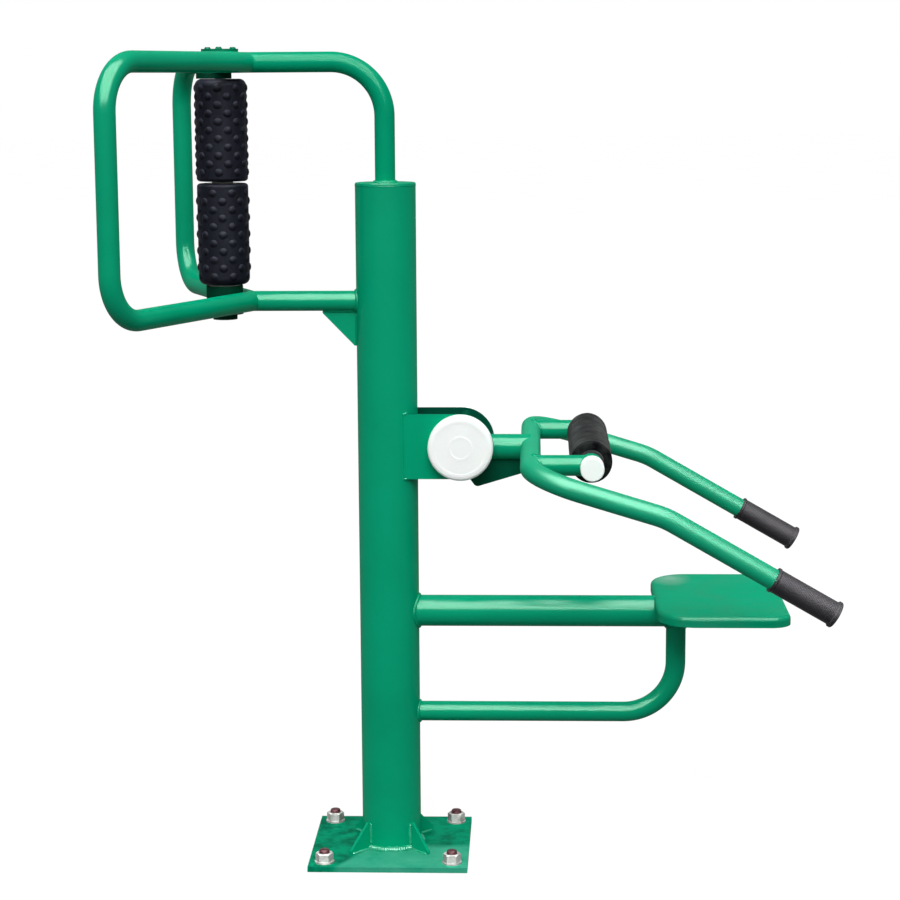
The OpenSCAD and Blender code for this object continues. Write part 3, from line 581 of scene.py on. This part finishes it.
def resample(points, closed, step=0.0011):
    """The same path with its points evenly spaced."""
    work = list(points) + ([points[0]] if closed else [])
    total = path_length(work, False)
    count = max(8, int(total / step))
    made = []
    walked, index = 0.0, 0
    for k in range(count if closed else count + 1):
        want = total * k / count
        while index < len(work) - 2 and walked + (work[index + 1] - work[index]).length < want:
            walked += (work[index + 1] - work[index]).length
            index += 1
        span = (work[index + 1] - work[index]).length
        made.append(work[index].lerp(work[index + 1], (want - walked) / span if span else 0.0))
    return made


def bead(bm, points, radius, closed):
    even = resample(points, closed)
    add_tube_mesh(bm, even, ripple(radius, path_length(even, closed), closed), closed)


def circle(centre, axis, radius, count=64):
    axis = Vector(axis).normalized()
    guess = UP if abs(axis.z) < 0.9 else Vector((1, 0, 0))
    u = guess.cross(axis).normalized()
    v = axis.cross(u)
    points = []
    for k in range(count):
        a = math.radians(360.0 * k / count)
        points.append(Vector(centre) + (u * math.cos(a) + v * math.sin(a)) * radius)
    return points


def saddle(start, direction, radius, centre, axis, big_radius):
    """Where a tube from start along direction first meets a round tube of big_radius.

    The start is any point of the tube's own axis that is clear of the big tube.
    """
    start, direction = Vector(start), Vector(direction).normalized()
    centre, axis = Vector(centre), Vector(axis).normalized()
    across = direction - axis * direction.dot(axis)
    points = []
    for ring_point in circle(start, direction, radius, 96):
        q = ring_point - centre
        flat = q - axis * q.dot(axis)
        a, b, c = across.dot(across), 2 * flat.dot(across), flat.dot(flat) - big_radius ** 2
        root = math.sqrt(max(0.0, b * b - 4 * a * c))
        points.append(ring_point + direction * ((-b - root) / (2 * a)))
    return points


# Welds of the fixed frame


def base_welds():
    """A bead round the post's foot, and one along and up each face of the foot gussets."""
    ring_bead, gusset_bead = 0.0075, 0.0028
    bm = bmesh.new()
    bead(bm, circle((0, 0, PLATE_TOP + 0.001), UP, POST_R + 0.001), ring_bead, True)
    for turn in (45, 135, 225, 315):
        out = Vector((math.cos(math.radians(turn)), math.sin(math.radians(turn)), 0))
        side = Vector((-out.y, out.x, 0)) * (GUSSET_T / 2 + 0.0002)
        reaches = (0.006, FOOT_GUSSET_LEG - 0.003)
        rises = (0.008, FOOT_GUSSET_H - 0.002)
        for face in (side, -side):
            on_plate = [out * (POST_R + reach) + face + UP * PLATE_TOP for reach in reaches]
            on_post = [out * POST_R + face + UP * (PLATE_TOP + rise) for rise in rises]
            bead(bm, on_plate, gusset_bead, False)
            bead(bm, on_post, gusset_bead, False)
    mesh_object("base_weld_beads", bm, FOOT_WELD, "station_frame")


def frame_welds():
    """Beads where the frame's tubes meet the post and each other, and along the frame gusset."""
    tube_bead, beam_bead, support_bead = 0.0036, 0.0042, 0.0034
    cap_bead, end_bead, gusset_bead = 0.0012, 0.0014, 0.0026
    left, right = (-1, 0, 0), (1, 0, 0)
    post = ((0, 0, 0), UP, POST_R)
    bm = bmesh.new()
    bead(bm, circle((0, 0, POST_TOP - POST_CAP_T), UP, POST_R - 0.0004), cap_bead, True)
    bead(bm, circle((0, 0, POST_TOP), UP, TUBE_R + 0.0006), beam_bead, True)
    bead(bm, saddle((-0.2, 0, LOWER_Z), right, TUBE_R, *post), tube_bead, True)
    bead(bm, saddle((0.2, 0, BEAM_Z), left, BEAM_R, *post), beam_bead, True)
    bead(bm, saddle((0.2, 0, SUPPORT_Z), left, TUBE_R, *post), tube_bead, True)
    beam = ((0, 0, BEAM_Z), right, BEAM_R)
    bead(bm, saddle((SUPPORT_X, 0, 0.3), UP, TUBE_R, *beam), support_bead, True)
    bead(bm, circle((BEAM_END_X + 0.0003, 0, BEAM_Z), right, BEAM_R - 0.0003), end_bead, True)
    under = LOWER_Z - TUBE_R
    face = GUSSET_T / 2 + 0.0004
    reaches = (0.002, FRAME_GUSSET_W - 0.002)
    drops = (0.004, FRAME_GUSSET_H - 0.002)
    for y in (-face, face):
        along = [Vector((-POST_R - reach, y, under)) for reach in reaches]
        down = [Vector((-POST_R + 0.0003, y, under - drop)) for drop in drops]
        bead(bm, along, gusset_bead, False)
        bead(bm, down, gusset_bead, False)
    mesh_object("frame_weld_beads", bm, WELD, "station_frame")


def bracket_welds():
    """Beads up the post beside each bracket plate, and short ones at its two corners."""
    side_bead, top_bead, bottom_bead = 0.0016, 0.0040, 0.0036
    x = math.sqrt(POST_R ** 2 - BRACKET_Y ** 2)
    top, bottom = PIVOT_Z + BRACKET_R, PIVOT_Z - BRACKET_R
    bm = bmesh.new()
    for y in (-BRACKET_Y, BRACKET_Y):
        bead(bm, [Vector((x, y * 0.99, bottom)), Vector((x, y * 0.99, top))], side_bead, False)
        for z, radius in ((top, top_bead), (bottom, bottom_bead)):
            bead(bm, [Vector((x - 0.001, y, z)), Vector((x + 0.008, y * 0.90, z))], radius, False)
    mesh_object("bracket_weld_beads", bm, WELD, "station_frame")


def lever_welds():
    """Beads where the lever's tube, its hub, the fork, the stub tubes and the axle meet."""
    hub_bead, tube_bead = 0.0032, 0.0030
    back, forth, across = (-1, 0, 0), (1, 0, 0), (0, 1, 0)
    hub = ((PIVOT_X, 0, PIVOT_Z), across, LEVER_HUB_R)
    fork = ((FORK_X, 0, FORK_Z), across, TUBE_R)
    axle = ((AXLE_X, 0, FORK_Z), across, TUBE_R)
    bm = bmesh.new()
    bead(bm, saddle((0.25, 0, FORK_Z), back, LEVER_TUBE_R, *hub), hub_bead, True)
    bead(bm, saddle((0.20, 0, FORK_Z), forth, TUBE_R - 0.0002, *fork), tube_bead, True)
    for y in (-STUB_Y, STUB_Y):
        bead(bm, saddle((0.33, y, FORK_Z), back, TUBE_R - 0.0003, *fork), tube_bead, True)
        bead(bm, saddle((0.33, y, FORK_Z), forth, TUBE_R - 0.0003, *axle), tube_bead, True)
    mesh_object("lever_weld_beads", bm, WELD, "lever")


base_welds()
frame_welds()
bracket_welds()
lever_welds()


# Anchor stud ends with their threads


def thread_profile(pitch, depth, radius, z):
    """A thread's radius at the height z, along a line up its side."""
    f = (z / pitch) % 1.0
    rise = 2 * f if f < 0.5 else 2 - 2 * f
    return radius - depth * (1 - min(1.0, 1.35 * rise))


def anchor_studs():
    bm = bmesh.new()
    radius, top, bottom = 0.0099, 0.0350, 0.0290
    pitch, depth, chamfer = 0.0025, 0.0014, 0.0016
    sides, step = 36, 0.00032
    rows = int((top - bottom) / step)
    for sx in (-1, 1):
        for sy in (-1, 1):
            centre = Vector((sx * ANCHOR_AT, sy * ANCHOR_AT, 0))
            rings = []
            for i in range(rows + 1):
                z = bottom + (top - bottom) * i / rows
                ring = []
                for k in range(sides):
                    a = 2 * math.pi * k / sides
                    r = thread_profile(pitch, depth, radius, z + pitch * k / sides)
                    r = min(r, radius - chamfer + (top - z) * 1.2)
                    ring.append(bm.verts.new(centre + Vector((r * math.cos(a), r * math.sin(a), z))))
                rings.append(ring)
            for one, two in zip(rings, rings[1:]):
                bridge(bm, one, two)
            bm.faces.new(rings[-1])
            bm.faces.new(rings[0][::-1])
    mesh_object("anchor_stud_ends", bm, STUD, "station_frame")


anchor_studs()


# Foam sleeve

FOAM_R = 0.0395
FOAM_BORE_R = 0.02315
FOAM_HALF = 0.1804
FOAM_EDGE_R = 0.0055


def foam_profile():
    """Radius, place along the axle and outward direction of each ring, once round the wall."""
    in_bore, in_face, in_edge, in_skin = 24, 7, 8, 150
    places = [-FOAM_HALF + 2 * FOAM_HALF * k / in_bore for k in range(in_bore + 1)]
    made = [(FOAM_BORE_R, along, -1.0, 0.0) for along in places]
    flat = FOAM_R - FOAM_EDGE_R
    for end in (1, -1):
        steps = [FOAM_BORE_R + (flat - FOAM_BORE_R) * k / in_face for k in range(1, in_face + 1)]
        faces = [(radius, end * FOAM_HALF, 0.0, float(end)) for radius in steps]
        turns = [math.radians(90 * k / in_edge) for k in range(1, in_edge + 1)]
        edges = []
        for a in turns:
            along = end * (FOAM_HALF - FOAM_EDGE_R + FOAM_EDGE_R * math.cos(a))
            edges.append((flat + FOAM_EDGE_R * math.sin(a), along, math.sin(a), end * math.cos(a)))
        if end == 1:
            made += faces + edges
            reach = FOAM_HALF - FOAM_EDGE_R
            places = [reach - 2 * reach * k / in_skin for k in range(1, in_skin)]
            made += [(FOAM_R, along, 1.0, 0.0) for along in places]
        else:
            made += edges[::-1] + faces[::-1]
    return made


def foam_sink(at):
    """How far the foam's skin lies under its full size: soft pressed places and fine grain."""
    pressed = 0.5 + 0.5 * perlin.noise(Vector((at.x * 24.0, at.y * 9.0, at.z * 24.0)))
    creased = 0.5 + 0.5 * perlin.noise(Vector((at.x * 95.0, at.y * 40.0, at.z * 95.0)))
    grain = 0.5 + 0.5 * perlin.noise(at * 420.0)
    return 0.0011 * pressed ** 2 + 0.00045 * creased + 0.00014 * grain


def foam_sleeve():
    bm = bmesh.new()
    centre = Vector((AXLE_X, 0.0, FORK_Z))
    sides = 128
    rings = []
    for radius, along, out, end in foam_profile():
        ring = []
        for k in range(sides):
            a = 2 * math.pi * k / sides
            spoke = Vector((math.cos(a), 0.0, math.sin(a)))
            at = spoke * radius + Vector((0.0, along, 0.0))
            if out >= 0.0:
                at -= (spoke * out + Vector((0.0, end, 0.0))) * foam_sink(at)
            ring.append(bm.verts.new(centre + at))
        rings.append(ring)
    for one, two in zip(rings, rings[1:] + rings[:1]):
        bridge(bm, one, two)
    sleeve = mesh_object("foam_sleeve", bm, FOAM, "foam_roll")
    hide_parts("foam_roller")


foam_sleeve()


# Studio


def shown_rays(tree, low, high):
    """High for camera, glossy and transmission rays, and low for the rest."""
    rays = tree.nodes.new("ShaderNodeLightPath")
    found = rays.outputs["Is Camera Ray"]
    for name in ("Is Glossy Ray", "Is Transmission Ray"):
        found = maths(tree, "MAXIMUM", found, rays.outputs[name])
    return spread(tree, found, low, high)


def make_floor():
    reach, sides = 60.0, 96
    bm = bmesh.new()
    middle = bm.verts.new((0.0, 0.0, 0.0))
    turns = [2 * math.pi * k / sides for k in range(sides)]
    rim = [bm.verts.new((reach * math.cos(a), reach * math.sin(a), 0.0)) for a in turns]
    for one, two in zip(rim, rim[1:] + rim[:1]):
        bm.faces.new((middle, one, two))
    data = bpy.data.meshes.new("studio_floor")
    bm.to_mesh(data)
    bm.free()
    floor = bpy.data.objects.new("studio_floor", data)
    bpy.context.scene.collection.objects.link(floor)
    mat, tree, shader = new_material("studio_floor")
    stops = [(0.3, (0.105, 0.105, 0.105)), (0.7, (0.118, 0.118, 0.118))]
    link(tree, ramp(tree, noise(tree, here(tree), 2.0), stops), shader.inputs["Base Color"])
    set_inputs(shader, Roughness=0.9, Specular_IOR_Level=0.0)
    set_inputs(shader, Emission_Color=(1.0, 1.0, 1.0, 1.0))
    link(tree, shown_rays(tree, 0.0, 0.885), shader.inputs["Emission Strength"])
    floor.data.materials.append(mat)


def make_world():
    """White where it is seen or mirrored. As light, dimmer round the horizon than overhead."""
    world = bpy.data.worlds.new("studio")
    world.use_nodes = True
    bpy.context.scene.world = world
    tree = world.node_tree
    back = tree.nodes["Background"]
    sky = tree.nodes.new("ShaderNodeTexCoord").outputs["Generated"]
    dome = spread(tree, axis_of(tree, sky, "Z"), 0.38, 1.30)
    white = tree.nodes.new("ShaderNodeMix")
    link(tree, shown_rays(tree, 0.0, 1.0), white.inputs[0])
    link(tree, dome, white.inputs[2])
    white.inputs[3].default_value = 1.0
    link(tree, white.outputs[0], back.inputs["Strength"])
    back.inputs["Color"].default_value = (1.0, 1.0, 1.0, 1.0)


def area_light(name, elevation, distance, width, height, power):
    """A lamp in front of the object, at this elevation, that faces its middle."""
    aim = Vector((0.2, 0.0, 0.8))
    angle = math.radians(elevation)
    data = bpy.data.lights.new(name, "AREA")
    data.shape = "RECTANGLE"
    data.size = width
    data.size_y = height
    data.energy = power
    lamp = bpy.data.objects.new(name, data)
    lamp.location = aim + Vector((0.0, -math.cos(angle), math.sin(angle))) * distance
    lamp.rotation_euler = (aim - lamp.location).to_track_quat("-Z", "Y").to_euler()
    lamp.visible_camera = False
    bpy.context.scene.collection.objects.link(lamp)
    return lamp


make_floor()
make_world()
key = area_light("key", elevation=42.0, distance=18.0, width=10.0, height=10.0, power=2380.0)
key.visible_glossy = False
softbox = area_light("softbox", elevation=57.5, distance=5.0, width=8.0, height=7.4, power=12000.0)
softbox.visible_diffuse = False
